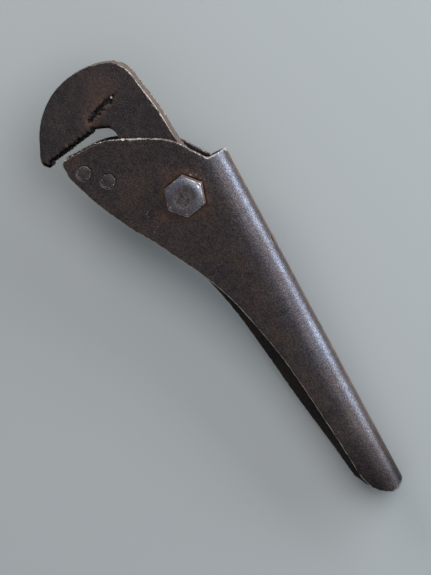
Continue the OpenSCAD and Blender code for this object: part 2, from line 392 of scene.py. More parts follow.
# x, y, depth below the near face, reach (all in millimetres) and share of bright metal
chips = [(28.3, 5.7, 0.6, 1.5, 1.3), (27.2, 3.7, 0.6, 1.3, 1.3), (30.4, 11.5, 0.5, 1.6, 0.8),
         (8.6, -20.4, 6.5, 2.8, 0.66), (3.5, -9.2, 0, 6.0, 0.42), (8.4, -4.4, 0, 5.0, 0.40),
         (0.2, 15.8, 0, 4.0, 0.43), (-6.5, 17.0, 0, 4.4, 0.40), (-139.4, -9.5, 0.3, 2.2, 0.9)]
chipped = sum(share * np.clip(1.8 * bump_at(places, (x, y, near_top - depth), reach), 0, 1)
              for x, y, depth, reach, share in chips)
keep(handle, "bright", chipped)
print("handle has", len(chips), "spots of bright metal")

# %% [markdown]
# Hands have burnished the two shoulders of the fold, and a little of the near cheek beside it. The
# same number paints the window's pale reflection along the fold as a highlight, strongest on the
# shoulders.

# %% Folded handle: burnish and painted highlight
SHOULDERS = 46, 134  # degrees from straight up, round the back of the fold
SHOULDER_WIDTH = 18  # degrees


def directions(obj):
    """The outward direction at every vertex."""
    flat = np.empty(len(obj.data.vertices) * 3)
    obj.data.vertices.foreach_get("normal", flat)
    return flat.reshape(-1, 3)


def ripple(places, width_mm, seed):
    """A cheap smooth noise between -1 and 1, made of a few crossed waves."""
    chance = np.random.default_rng(seed)
    total = np.zeros(len(places))
    for _ in range(9):
        direction = chance.normal(size=3)
        direction /= np.linalg.norm(direction)
        wave = width_mm * chance.uniform(0.6, 1.7)
        total += np.sin(places @ direction * (2 * math.pi / wave) + chance.uniform(0, 6.28))
    return total / 4.5


outward = directions(handle)
turned = np.degrees(np.arctan2(-outward[:, 1], outward[:, 2]))
near_band, far_band = (np.exp(-((turned - at) / SHOULDER_WIDTH) ** 2) for at in SHOULDERS)
# painted highlight: the reflection along the fold fades towards the handle's end
fade = np.clip((places[:, 0] + 142) / 60, 0.35, 1)
near_fold = 0.32 * np.clip(1 - (places[:, 1] - fold_y) / 9, 0, 1) ** 2 * (outward[:, 2] > 0.3)
rubbed = np.maximum(near_band + 0.8 * far_band, near_fold * (places[:, 1] > fold_y - 3)) * fade
keep(handle, "burnish_and_sheen", rubbed * (0.85 + 0.25 * ripple(places, 17, 5)))
print(round(100 * float((rubbed > 0.5).mean())), "% of the handle's vertices are well rubbed")

# %% [markdown]
# Scuffs let bare metal reach further in from an edge: at the nose of the cheek, at the corner
# where the fold begins, at the handle's end, and along the edge that a hand slides over, where the
# pale line is partly wear and partly a painted highlight.

# %% Folded handle: scuffs
# painted highlight: the gripped edge gets a pale line along its whole length
gripped_and_lit_edge = (places[:, 2] > near_top - 1.0) & (outward[:, 1] > 0.2) & (places[:, 1] > -12)
keep(handle, "scuff", bump_at(places, (28.5, 7, near_top), 15)
     + 1.5 * bump_at(places, (9, -19, near_top - 4), 9)
     + 1.3 * bump_at(places, (-140, -14, near_top - 2), 9) + 0.7 * gripped_and_lit_edge)
print(int(gripped_and_lit_edge.sum()), "vertices lie on the edge that is gripped")

# %% [markdown]
# Rust sits in a ring round the bolt head and the nut. A warm film of painted light lies on the
# back of the fold for the floor's warm reflection there, thinner towards the handle's end.

# %% Folded handle: rust and painted warm light
RUST_RING_R = 8.8  # mm, just outside the head and the nut
ring = np.exp(-((np.hypot(places[:, 0], places[:, 1]) - RUST_RING_R) / 1.3) ** 2)
outer_faces = (places[:, 2] > near_top - 1) | (places[:, 2] < far_low + 1)
grime = ring * (0.7 + 0.5 * ripple(places, 4, 3)) * outer_faces
grime += 0.6 * bump_at(places, (-20, 6, far_low), 14) * outer_faces
grime += 0.8 * bump_at(places, (-3.5, 12.5, near_top), 4.5)
grime += 0.5 * bump_at(places, (12.5, 3, near_top), 4.5)
keep(handle, "rust", grime)
# painted reflection: a warm film on the back of the fold, thinner towards the end
fold_back_light = 0.85 + 0.2 * ripple(places, 9, 6) + 0.15 * ripple(places, 2.2, 7)
fold_back_light *= np.clip((places[:, 0] + 165) / 70, 0.4, 1)
keep(handle, "warm_side_light", 0.9 * np.exp(-((turned - 93) / 25) ** 2) * fold_back_light)
print(int((grime > 0.3).sum()), "vertices are rusty")

# %% [markdown]
# Painted shade makes the gap round the six sides of the bolt head almost black. A lighter painted
# shade darkens the inside of the far cheek and the last stretch of the handle.

# %% Folded handle: painted shade in the gap, the far cheek and the end
HEX_TURN = 72  # degrees from X to the direction that a flat of the bolt head faces
HEAD_FLATS = 14.29  # mm across the flats of the bolt head
far_cheek_shade = (outward[:, 2] > 0.5) & (places[:, 2] < near_top - 8)
bolt_flats = [math.radians(HEX_TURN + 60 * k) for k in range(6)]
from_head = np.max([places[:, 0] * math.cos(a) + places[:, 1] * math.sin(a)
                    for a in bolt_flats], axis=0) - HEAD_FLATS / 2
gap = np.exp(-((from_head - 0.2) / 0.5) ** 2) * (places[:, 2] > near_top - 1)
end_shade = 0.5 * np.clip((-88 - places[:, 0]) / 45, 0, 1)
# painted shade goes into the same number as the hook's lap, which the seam colour reads
keep(handle, "lap", np.maximum(end_shade, 0.5 * far_cheek_shade) + 0.6 * gap)
print(int((gap > 0.5).sum()), "vertices lie in the gap round the bolt head")

# %% [markdown]
# The finished piece hides its CAD node and rides on the body that carries it.

# %% Folded handle: handed to the frame


def count_triangles(obj):
    """Prints how many triangles a piece has."""
    print(obj.name, "has", sum(len(p.vertices) - 2 for p in obj.data.polygons), "triangles")


def finish_piece(obj, node, body):
    """The piece hides its CAD node, rides on its body and has its triangles counted."""
    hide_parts(node)
    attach(obj, body)
    count_triangles(obj)


finish_piece(handle, "handle_shell", "handle")

# %% [markdown]
# ## Forged hook jaw
# The hook was hammered in a die, so its sides lean in a little from the middle and its faces carry
# scale. The teeth bite, so their edges are left out of the edges that are rubbed bare.

# %% Forged hook jaw: forged faces
hook = merged_copy("hook_jaw", "forged_hook")
hook_edges = [p for p in sharp_points(hook) if p.x > 42 * MM or p.y < 20 * MM or p.y > 42 * MM]
small_faces(hook, 0.3, 2)
uneven(hook, "forging scale", 7, 0.2)
uneven(hook, "scale grain", 1.3, 0.06)
edge_distance(hook, hook_edges)
print("hook has", len(hook_edges), "points along its rubbed edges")

# %% Forged hook jaw: sides that lean in
HOOK_DRAFT = 0.35  # mm that a side leans in between the middle and either face
HOOK_EYE_R = 12  # mm round the bolt that keeps its shape
hook_low, hook_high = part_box("hook_jaw")
hook_mid = (hook_low[2] + hook_high[2]) / 2 / MM
hook_half = (hook_high[2] - hook_low[2]) / 2 / MM
hook_top = hook_high[2] / MM
places = coordinates(hook)
outward = directions(hook)
past_eye = np.hypot(places[:, 0], places[:, 1]) > HOOK_EYE_R
side = np.clip(1 - np.abs(outward[:, 2]) * 1.5, 0, 1) * past_eye
draft = HOOK_DRAFT * np.abs(places[:, 2] - hook_mid) / hook_half
places[:, :2] -= outward[:, :2] * (side * draft)[:, None]
set_coordinates(hook, places)
print("hook sides lean in", HOOK_DRAFT, "mm from the middle")

# %% [markdown]
# The teeth have broken the face beside them into a ragged step, darkened with painted shade.

# %% Forged hook jaw: broken edge at the teeth
upper_face = outward[:, 2] > 0.6
tooth_wall = (outward[:, 0] < -0.35) & (np.abs(outward[:, 2]) < 0.7) & (places[:, 1] > 15)
wall_tree = KDTree(int(tooth_wall.sum()))
for i, place in enumerate(places[tooth_wall]):
    wall_tree.insert(place, i)
wall_tree.balance()
close_by = (places[:, 1] > 14) & (places[:, 0] < 46)
from_teeth = np.full(len(places), 9.0)
from_teeth[close_by] = [wall_tree.find(place)[2] for place in places[close_by]]
in_teeth = np.exp(-(from_teeth / (1.15 + 0.3 * ripple(places, 2.1, 16))) ** 2)
places[:, 2] -= np.where(upper_face, 0.9 * in_teeth, 0)
print(int(tooth_wall.sum()), "vertices lie on the teeth")

# %% [markdown]
# A ragged lap runs across the hook, where the hot metal folded over on itself. It is a real
# groove that wanders and breaks up, with a faint tail and a second crease beside it.

# %% Forged hook jaw: lap


def to_path(places, path, sway):
    """Distance from each vertex to a bent line seen from above, swayed by a noise."""
    best = np.full(len(places), 1e9)
    path = np.array(path, float)
    for a, b in zip(path[:-1], path[1:]):
        t = np.clip(((places[:, :2] - a) @ (b - a)) / ((b - a) @ (b - a)), 0, 1)
        gap = np.linalg.norm(places[:, :2] - (a + t[:, None] * (b - a)), axis=1)
        best = np.minimum(best, np.abs(gap + sway))
    return best


wander = 0.45 * ripple(places, 3.1, 11) + 0.25 * ripple(places, 1.1, 13)
lap_line = [(42.6, 20.0), (44.3, 16.4), (45.5, 13.3), (46.1, 10.8), (46.4, 8.4)]
lap = to_path(places, lap_line, wander)
lap_tail = to_path(places, [(46.4, 8.4), (47.4, 4.8), (48.5, 1.4), (50.6, -1.8)], wander)
second = to_path(places, [(42.6, 13.0), (43.5, 11.2), (45.1, 5.5)], wander * 0.4)
broken = np.clip(0.95 + 0.2 * ripple(places, 2.3, 14), 0.7, 1.1)
groove = np.exp(-(lap / 0.95) ** 2) * broken
groove_tail = 0.5 * np.exp(-(lap_tail / 0.6) ** 2) * np.clip(broken - 0.2, 0, 1)
groove_second = 0.4 * np.exp(-(second / 0.4) ** 2) * broken
print("lap runs past", int((groove > 0.5).sum()), "vertices")

# %% [markdown]
# Pits of many sizes break the groove up along its length. A bright chip sits at its upper end,
# painted pale as a glint.

# %% Forged hook jaw: pits along the lap
PITS = 34
pitting = np.random.default_rng(8)
for _ in range(PITS):
    t = pitting.uniform(0, 1)
    pit = (42.8 + 3.8 * t - 1.2 * (t - 0.5) ** 2 + pitting.normal(0, 0.65),
           19.8 - 11.2 * t + pitting.normal(0, 0.4), hook_top)
    groove = np.maximum(groove, pitting.uniform(0.5, 1.0)
                        * bump_at(places, pit, pitting.uniform(0.7, 1.4)))
chip_glint = bump_at(places, (46.6, 8.3, hook_top), 0.8)
places[:, 2] -= np.where(upper_face, 0.9 * groove + 0.4 * groove_tail + 0.35 * groove_second, 0)
set_coordinates(hook, places)
creases = np.where(upper_face, groove + groove_tail + 0.6 * groove_second - chip_glint, 0)
# the lap is black, and painted shade darkens the broken edge at the teeth
keep(hook, "lap", creases + 0.95 * in_teeth)
print("lap has", PITS, "pits")

# %% [markdown]
# A few faint scratches cross the nose. Rust follows the lap and the teeth, and painted warm light
# lies on the sides, most on the back that faces the light, fading towards the nose.

# %% Forged hook jaw: scratches, rust and painted light
scratch_lines = [[(47.2, 30.2), (43.6, 31.8)], [(49.6, 33.4), (45.4, 30.6)],
                 [(44.8, 31.8), (42.4, 30.0)], [(46.4, 22.4), (43.4, 25.4)],
                 [(45.4, 19.4), (44.6, 24.8)]]
scratches = np.min([to_path(places, line, 0) for line in scratch_lines], axis=0)
keep(hook, "bright", np.where(upper_face, 0.5 * np.exp(-(scratches / 0.3) ** 2) + 1.6 * chip_glint, 0))
keep(hook, "rust", 0.6 * bump_at(places, (46.8, 16, hook_top), 8)
     + 0.5 * bump_at(places, (53, 10, hook_top), 8) + 0.4 * bump_at(places, (42, 22, hook_top), 6)
     + 0.75 * np.exp(-(lap / 2.2) ** 2) + 0.4 * np.exp(-(from_teeth / 2.4) ** 2))
# painted light on the upright sides, strongest on the lit back
up_the_back = np.clip((17 - places[:, 1] + 3 * ripple(places, 6, 17)) / 12, 0, 1)
keep(hook, "warm_side_light", 0.75 * side * up_the_back)
keep(hook, "scuff", 0.5 * bump_at(places, (52, -3, hook_top), 12)
     + bump_at(places, (36, -6, hook_top), 14) + 0.4 * bump_at(places, (38.5, 30, hook_mid), 10))
finish_piece(hook, "hook_jaw", "hook")

# %% [markdown]
# ## Heel jaw and its rivets
# The heel jaw is a sawn block with filed teeth.

# %% Heel jaw
heel = merged_copy("heel_jaw", "toothed_heel_jaw")
heel_edges = sharp_points(heel)
small_faces(heel, 0.3, 1)
uneven(heel, "filed faces", 3, 0.08)
edge_distance(heel, heel_edges)
finish_piece(heel, "heel_jaw", "handle")

# %% [markdown]
# Its two rivets were hammered until they filled their countersinks, so each end is almost flush,
# with a fine pale ring near its rim, a darker seam round it and a few hammer flats.

# %% Rivets of the heel jaw
SEAM_R = 2.95  # mm, the rim of the rivet's head
RING_R = 2.55  # mm, where the head is rubbed pale
rivets = []
for node in ("rear_rivet", "front_rivet"):
    rivet = merged_copy(node, "hammered_" + node)
    rivet_edges = sharp_points(rivet)
    small_faces(rivet, 0.2, 2)
    uneven(rivet, "hammer flats", 1.9, 0.16)
    edge_distance(rivet, rivet_edges)
    places = coordinates(rivet)
    centre = places[:, :2].mean(axis=0)
    from_centre = np.hypot(*(places[:, :2] - centre).T)
    keep(rivet, "lap", 0.42 * np.exp(-((from_centre - SEAM_R) / 0.2) ** 2))
    keep(rivet, "bright", 0.59 * np.exp(-((from_centre - RING_R) / 0.4) ** 2))
    finish_piece(rivet, node, "handle")
    rivets.append(rivet)

# %% [markdown]
# ## Pivot bolt
# A 3/8 inch bolt: a hexagon head with its corners turned down and a shallow round dish left by the
# header, a plain shank, and a cut thread that shows below the nut. The CAD bolt is cut off where
# its thread begins.

# %% Pivot bolt: head and shank
THREAD_PITCH = 25.4 / 16 * MM  # sixteen turns to the inch
thread_r = 4.76 * MM  # half of 3/8 inch
thread_root = thread_r - 0.61 * THREAD_PITCH
thread_end = 0.35 * MM
shank_end = 7 * THREAD_PITCH

bolt = merged_copy("pivot_bolt", "pivot_bolt_worn")
bolt_edges = [p for p in sharp_points(bolt)
              if p.z > near_top * MM and math.hypot(p.x, p.y) > 5.5 * MM]
take(bolt)
bpy.ops.object.mode_set(mode="EDIT")
bpy.ops.mesh.select_all(action="SELECT")
bpy.ops.mesh.bisect(plane_co=(0, 0, shank_end), plane_no=(0, 0, 1), clear_inner=True,
                    use_fill=True)
bpy.ops.object.mode_set(mode="OBJECT")
print("plain shank starts", round(shank_end / MM, 2), "mm up the bolt")

# %% [markdown]
# The thread is one tooth of three short strokes, carried round the axis by the Screw modifier.

# %% Pivot bolt: winding the thread
deselect()
bpy.ops.mesh.primitive_plane_add(size=0.1 * MM, location=(thread_root, 0, -THREAD_PITCH))
thread = bpy.context.object
bpy.ops.object.transform_apply(location=True)
bpy.ops.object.mode_set(mode="EDIT")
bpy.ops.mesh.select_all(action="SELECT")
bpy.ops.mesh.merge(type="CENTER")
flank = thread_r - thread_root
for out_by, up_by in ((flank, 0.45), (0, 0.1), (-flank, 0.45)):
    stroke = {"value": (out_by, 0, up_by * THREAD_PITCH)}
    bpy.ops.mesh.extrude_vertices_move(TRANSFORM_OT_translate=stroke)
bpy.ops.object.mode_set(mode="OBJECT")
apply(thread, "SCREW", axis="Z", screw_offset=THREAD_PITCH, iterations=9,
      steps=32, render_steps=32, use_merge_vertices=True, merge_threshold=0.01 * MM)
print("thread is wound with", len(thread.data.polygons), "faces")

# %% Pivot bolt: cutting the thread to length
take(thread)
bpy.ops.object.mode_set(mode="EDIT")
bpy.ops.mesh.select_all(action="SELECT")
bpy.ops.mesh.bisect(plane_co=(0, 0, thread_end), plane_no=(0, 0, 1), clear_inner=True,
                    use_fill=True)
bpy.ops.mesh.select_all(action="SELECT")
bpy.ops.mesh.bisect(plane_co=(0, 0, shank_end + 0.4 * MM), plane_no=(0, 0, 1),
                    clear_outer=True, use_fill=True)
bpy.ops.mesh.select_all(action="SELECT")
bpy.ops.mesh.normals_make_consistent(inside=False)
bpy.ops.object.mode_set(mode="OBJECT")
print("thread has", len(thread.data.polygons), "faces")

# %% [markdown]
# A cone makes the chamfered tip. Shank, thread and tip are joined, and the remesh makes one skin
# of them. The head is smoothed further than the thread, because it has been handled more.

# %% Pivot bolt: chamfered end, joined
deselect()
bpy.ops.mesh.primitive_cone_add(vertices=64, radius1=thread_r - 1.0 * MM, radius2=thread_root,
                                depth=1.2 * MM, location=(0, 0, 0.6 * MM))
tip = bpy.context.object
take(bolt)
thread.select_set(True)
tip.select_set(True)
bpy.ops.object.join()
small_faces(bolt, 0.22, 2)
head = bolt.vertex_groups.new(name="head")
head.add([v.index for v in bolt.data.vertices if v.co.z > near_top * MM + 2 * MM], 1, "ADD")
apply(bolt, "SMOOTH", factor=0.5, iterations=9, vertex_group="head")
uneven(bolt, "handled head", 4.5, 0.1)
edge_distance(bolt, bolt_edges)
print("bolt is remeshed into", len(bolt.data.polygons), "faces")

# %% [markdown]
# The face of the head is dished in its middle and domed down to its six corners.

# %% Pivot bolt: dished and domed face
DISH_R = 4.6  # mm, from the axis to the rim of the dish
places = coordinates(bolt)
head_top = bolt_box[1][2] / MM
from_axis = np.hypot(places[:, 0], places[:, 1])
face = places[:, 2] > head_top - 0.55
bowl = 0.3 * (1 - np.clip(from_axis / DISH_R, 0, 1) ** 4)
dome = 0.75 * np.clip((from_axis - DISH_R) / 2.9, 0, 1) ** 1.8
places[face, 2] = np.minimum(places[:, 2], head_top - 0.02 - dome)[face]
dished = face & (from_axis < DISH_R)
places[dished, 2] = (head_top - 0.04 - bowl + 0.04 * ripple(places, 2.2, 21))[dished]
set_coordinates(bolt, places)
print("dish is", round(float(bowl.max()), 2), "mm deep")

# %% [markdown]
# Grime fills the dish and the foot of the head, and a little lies on its sides and on the shank.
# The face outside the dish is rubbed, and a painted highlight makes it paler towards the lit side.
# Painted warm light lies on the head's six sides.

# %% Pivot bolt: wear
outward = directions(bolt)
on_face = (outward[:, 2] > 0.6) & (places[:, 2] > head_top - 0.9)
keep(bolt, "rust", 0.9 * np.exp(-((places[:, 2] - near_top) / 0.9) ** 2)
     + on_face * np.clip(2.2 - from_axis / 2.4, 0, 1)
     + 0.6 * on_face * bump_at(places, (-4, 6, head_top), 6)
     + 0.25 * (places[:, 2] < head_top - 1.6))
# painted highlight: the rubbed rim grows paler towards the side that the window lights
rubbed_and_lit_side = np.clip(0.55 + 0.09 * (places[:, 0] - places[:, 1]), 0.05, 1)
keep(bolt, "burnish_and_sheen", rubbed_and_lit_side * on_face * np.clip((from_axis - 4.2) / 1.2, 0, 1))
# painted warm light on the head's upright sides
keep(bolt, "warm_side_light", 0.75 * (np.abs(outward[:, 2]) < 0.5) * (places[:, 2] > near_top + 0.5))
keep(bolt, "scuff", 0.35 * bump_at(places, (3, -6, head_top), 7))
finish_piece(bolt, "pivot_bolt", "handle")

# %% [markdown]
# ## Nut and lock washer
# These sit on the hidden side. The nut is thin, as a lock nut is.

# %% Thin nut
nut = merged_copy("pivot_nut", "thin_hexagon_nut")
nut_edges = sharp_points(nut)
small_faces(nut, 0.22, 2)
uneven(nut, "spanner marks", 3.5, 0.12)
edge_distance(nut, nut_edges)
finish_piece(nut, "pivot_nut", "handle")

# %% [markdown]
# The lock washer is a square wire wound almost once round, so it is made as one: a small square,
# stood up at its radius and carried round by the Screw modifier with a slight climb, then closed
# at its two cut ends.

# %% Split lock washer: the wire's square
washer_low, washer_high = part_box("lock_washer")
washer_out = (washer_high[0] - washer_low[0]) / 2
washer_in = 5.1 * MM
washer_rise = 0.25 * MM
wire_high = washer_high[2] - washer_low[2] - washer_rise
wire_mid = (washer_in + washer_out) / 2
split_at = math.radians(-45)
deselect()
bpy.ops.mesh.primitive_plane_add(
    size=1, rotation=(math.pi / 2, 0, split_at),
    location=(wire_mid * math.cos(split_at), wire_mid * math.sin(split_at),
              washer_low[2] + wire_high / 2))
washer = bpy.context.object
washer.name = "split_lock_washer"
washer.scale = (washer_out - washer_in, wire_high, 1)
bpy.ops.object.transform_apply(location=True, rotation=True, scale=True)
print("wire is", round((washer_out - washer_in) / MM, 2), "by", round(wire_high / MM, 2), "mm")

# %% Split lock washer: wound and closed
TURN = math.radians(349)  # the split takes the rest of the round
bpy.ops.object.mode_set(mode="EDIT")
bpy.ops.mesh.select_all(action="SELECT")
bpy.ops.mesh.delete(type="ONLY_FACE")
bpy.ops.object.mode_set(mode="OBJECT")
apply(washer, "SCREW", axis="Z", angle=TURN, screw_offset=washer_rise,
      steps=64, render_steps=64, use_merge_vertices=False)
take(washer)
bpy.ops.object.mode_set(mode="EDIT")
bpy.ops.mesh.select_mode(type="EDGE")
bpy.ops.mesh.select_all(action="DESELECT")
bpy.ops.mesh.select_non_manifold(extend=False)
bpy.ops.mesh.fill_holes(sides=4)
bpy.ops.mesh.select_all(action="SELECT")
bpy.ops.mesh.normals_make_consistent(inside=False)
bpy.ops.object.mode_set(mode="OBJECT")
washer_edges = sharp_points(washer)
small_faces(washer, 0.22, 2)
uneven(washer, "washer wear", 3, 0.08)
edge_distance(washer, washer_edges)
finish_piece(washer, "lock_washer", "handle")

# %% [markdown]
# ## Spring, its rivet and the bushing
# A thin leaf inside the fold presses on the back of the hook. It keeps its crisp edges, so it is
# remeshed finely and smoothed only once. It bends across the pivot, so it rides on no one body.

# %% Leaf spring
spring = merged_copy("jaw_spring", "leaf_spring")
spring_edges = sharp_points(spring)
small_faces(spring, 0.25, 1)
edge_distance(spring, spring_edges)
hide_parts("jaw_spring")
count_triangles(spring)

# %% [markdown]
# The rivet that holds the spring shows on the back of the fold, under the same painted warm light.

# %% Spring rivet
spring_rivet = merged_copy("spring_rivet", "small_spring_rivet")
spring_rivet_edges = sharp_points(spring_rivet)
small_faces(spring_rivet, 0.15, 2)
uneven(spring_rivet, "small hammer flats", 1.2, 0.08)
edge_distance(spring_rivet, spring_rivet_edges)
# painted warm light, as on the back of the fold
keep(spring_rivet, "warm_side_light", np.full(len(spring_rivet.data.vertices), 0.85))
finish_piece(spring_rivet, "spring_rivet", "handle")

# %% [markdown]
# The bushing is a plain turned sleeve that keeps the two cheeks apart.

# %% Bushing
bushing = merged_copy("pivot_bushing", "turned_bushing")
bushing_edges = sharp_points(bushing)
small_faces(bushing, 0.3, 1)
edge_distance(bushing, bushing_edges)
finish_piece(bushing, "pivot_bushing", "handle")

# %% [markdown]
# ## Materials
# Every finish here but the bushing's is steel that has darkened with age. The dark skin is an
# oxide: it still shines like metal, but softly, and it is browner where fine rust has started.
# Where hands, pipes and the ground have rubbed, at the edges above all, paler bare steel shows.

# %% Node helper


def add(tree, kind, inputs=None, out=0, **settings):
    """Adds one node, sets or links its inputs, and gives back one of its outputs."""
    node = tree.nodes.new(kind)
    for key, value in settings.items():
        setattr(node, key, value)
    for key, value in (inputs or {}).items():
        if isinstance(value, bpy.types.NodeSocket):
            tree.links.new(value, node.inputs[key])
        else:
            node.inputs[key].default_value = value
    return node.outputs[out]


def srgb(code):
    """An sRGB hex colour as linear red, green, blue and alpha."""
    parts = [int(code[i:i + 2], 16) / 255 for i in (1, 3, 5)]
    return [c / 12.92 if c <= 0.04045 else ((c + 0.055) / 1.055) ** 2.4 for c in parts] + [1]


def per_mm(size):
    """Texture scale that makes one feature about this many millimetres across."""
    return 1 / (size * MM)


print("a mid grey is", round(srgb("#808080")[0], 3), "in linear light")

# %% [markdown]
# The oxide skin has three sizes of unevenness: clouds about 15 mm across, a finer mottling over
# them, and a grain of half a millimetre. The real grain is finer than that, but it would not
# show, so it is drawn as coarse as it needs to be.

# %% Oxide skin
CLOUD_MM, MOTTLE_MM, GRAIN_MM = 15, 2.6, 0.5
SMOOTH = "SMOOTHSTEP"  # a range that eases in and out at its two ends


def oxide_skin(tree, place, tones):
    """The skin's colour, and the mottling and the grain that the other layers share."""
    cloud = add(tree, "ShaderNodeTexNoise", {"Vector": place, "Scale": per_mm(CLOUD_MM),
                                             "Detail": 4})
    mottle = add(tree, "ShaderNodeTexNoise", {"Vector": place, "Scale": per_mm(MOTTLE_MM),
                                              "Detail": 5, "Roughness": 0.65})
    grain = add(tree, "ShaderNodeTexNoise", {"Vector": place, "Scale": per_mm(GRAIN_MM),
                                             "Detail": 2, "Roughness": 0.6})
    cloudy = add(tree, "ShaderNodeMapRange", {"Value": cloud, "From Min": 0.38, "From Max": 0.62},
                 interpolation_type=SMOOTH)
    mottled = add(tree, "ShaderNodeMapRange", {"Value": mottle, "From Min": 0.4, "From Max": 0.7,
                                               "To Max": 0.4}, interpolation_type=SMOOTH)
    grainy = add(tree, "ShaderNodeMapRange", {"Value": grain, "From Min": 0.4, "From Max": 0.66},
                 interpolation_type=SMOOTH)
    skin = add(tree, "ShaderNodeMix", {0: cloudy, 6: srgb(tones[0]), 7: srgb(tones[1])}, 2,
               data_type="RGBA")
    skin = add(tree, "ShaderNodeMix", {0: mottled, 6: skin, 7: srgb(tones[2])}, 2,
               data_type="RGBA")
    lighter = add(tree, "ShaderNodeMapRange", {"Value": grainy, "To Min": 0.7, "To Max": 1.42})
    skin = add(tree, "ShaderNodeVectorMath", {0: skin, "Scale": lighter}, operation="SCALE")
    return skin, mottle, grain, grainy


print("skin varies over", CLOUD_MM, MOTTLE_MM, "and", GRAIN_MM, "mm")

# %% [markdown]
# Rust lies where it was kept on the piece, broken up by a noise. Painted warm light is a thin film
# on the faces that stand upright, for the light and the warm reflection that fall on them.

# %% Rust and painted warm light
RUST_MM = 1.5
SIDE_LIGHT_TONE = "#94796a"


def rust_and_side_light(tree, place, skin, mottle, rust):
    """The skin's colour with both over it, and how much of each there is."""
    broken = add(tree, "ShaderNodeTexNoise", {"Vector": place, "Scale": per_mm(RUST_MM),
                                              "Detail": 4, "Roughness": 0.7})
    broken = add(tree, "ShaderNodeMapRange", {"Value": broken, "From Min": 0.34, "From Max": 0.6},
                 interpolation_type=SMOOTH)
    rusted = add(tree, "ShaderNodeAttribute", out="Fac", attribute_name="rust")
    rusty = add(tree, "ShaderNodeMath", {0: rusted, 1: broken}, operation="MULTIPLY")
    skin = add(tree, "ShaderNodeMix", {0: rusty, 6: skin, 7: srgb(rust)}, 2, data_type="RGBA")

    # painted warm light on the upright faces
    side_lit = add(tree, "ShaderNodeAttribute", out="Fac", attribute_name="warm_side_light")
    thin = add(tree, "ShaderNodeMapRange", {"Value": mottle, "From Min": 0.3, "From Max": 0.7,
                                            "To Min": 0.6, "To Max": 1.1})
    side_lit_share = add(tree, "ShaderNodeMath", {0: side_lit, 1: thin}, operation="MULTIPLY",
                use_clamp=True)
    skin = add(tree, "ShaderNodeMix", {0: side_lit_share, 6: skin, 7: srgb(SIDE_LIGHT_TONE)}, 2, data_type="RGBA")
    return skin, rusty, side_lit_share


print("rust breaks up over", RUST_MM, "mm")

# %% [markdown]
# Where hands have rubbed the skin thin, the grey metal shows in the high spots of the grain, and
# its pale blue also paints the window's reflection as a highlight. The lap is black, and so is the
# painted shade in the broken edge at the teeth and in the gap round the bolt head. The other
# places kept in the same number are darkened: the rivets' seams, and painted shade inside the far
# cheek and towards the handle's end.

# %% Burnish and painted highlight, black seams and painted shade
THIN_SKIN_AND_SHEEN = "#7e828f"
SEAM_AND_SHADE = "#120e0d"


def burnish_sheen_seams_and_shade(tree, skin, grainy):
    """The skin's colour with the burnish, its painted highlight, the seams and the painted shade
    over it.
    """
    handled = add(tree, "ShaderNodeAttribute", out="Fac", attribute_name="burnish_and_sheen")
    high_spots = add(tree, "ShaderNodeMapRange", {"Value": grainy, "To Min": 0.3, "To Max": 1.0})
    polished_and_sheen = add(tree, "ShaderNodeMath", {0: handled, 1: high_spots}, operation="MULTIPLY")
    skin = add(tree, "ShaderNodeMix", {0: polished_and_sheen, 6: skin, 7: srgb(THIN_SKIN_AND_SHEEN)}, 2,
               data_type="RGBA")

    seams_and_shade = add(tree, "ShaderNodeAttribute", out="Fac", attribute_name="lap")
    seams_and_shade = add(tree, "ShaderNodeMapRange", {"Value": seams_and_shade, "From Min": 0.22, "From Max": 0.7},
                 interpolation_type=SMOOTH)
    return add(tree, "ShaderNodeMix", {0: seams_and_shade, 6: skin, 7: srgb(SEAM_AND_SHADE)}, 2, data_type="RGBA")


print("burnished skin is", THIN_SKIN_AND_SHEEN, "and a seam is", SEAM_AND_SHADE)

# %% [markdown]
# Bare metal shows along the edges. It reaches further in where the piece was scuffed, and its
# border is ragged. Flecks and scratches show only where they meet the high spots of the grain, in
# a pale, duller colour that is painted as their glint.

# %% Bare metal
SCUFF_MM = 0.6  # about how much further in bare metal reaches where the piece was scuffed


def bare_metal(tree, skin, mottle, grain, bare, wear_mm, chip_glint):
    """The skin's colour with bare metal over it, and where it is worn or scratched."""
    near = add(tree, "ShaderNodeAttribute", out="Fac", attribute_name="edge_mm")
    scuffed = add(tree, "ShaderNodeAttribute", out="Fac", attribute_name="scuff")
    reach = add(tree, "ShaderNodeMath", {0: scuffed, 1: SCUFF_MM, 2: wear_mm},
                operation="MULTIPLY_ADD")
    ragged = add(tree, "ShaderNodeMapRange", {"Value": mottle, "From Min": 0.3, "From Max": 0.7,
                                              "To Min": 0.3, "To Max": 1.5})
    reach = add(tree, "ShaderNodeMath", {0: reach, 1: ragged}, operation="MULTIPLY")
    depth = add(tree, "ShaderNodeMath", {0: near, 1: reach}, operation="DIVIDE")
    worn = add(tree, "ShaderNodeMapRange", {"Value": depth, "From Min": 1.0, "From Max": 0.3},
               interpolation_type=SMOOTH)
    scratched = add(tree, "ShaderNodeAttribute", out="Fac", attribute_name="bright")
    scratched = add(tree, "ShaderNodeMath", {0: grain, 1: 0.9, 2: scratched},
                    operation="MULTIPLY_ADD")
    scratched = add(tree, "ShaderNodeMapRange", {"Value": scratched, "From Min": 0.98,
                                                 "From Max": 1.15}, interpolation_type=SMOOTH)
    skin = add(tree, "ShaderNodeMix", {0: worn, 6: skin, 7: srgb(bare)}, 2, data_type="RGBA")
    skin = add(tree, "ShaderNodeMix", {0: scratched, 6: skin, 7: srgb(chip_glint)}, 2,
               data_type="RGBA")
    return skin, worn, scratched


print("bare metal reaches about", SCUFF_MM, "mm further in at a scuff")

# %% [markdown]
# One function lays these over each other, because every finish here is the same skin with other
# colours. Oxide shines softly, rust hardly, bare and burnished metal most, and the same
# unevenness that colours the skin gives it its relief.

# %% Darkened steel


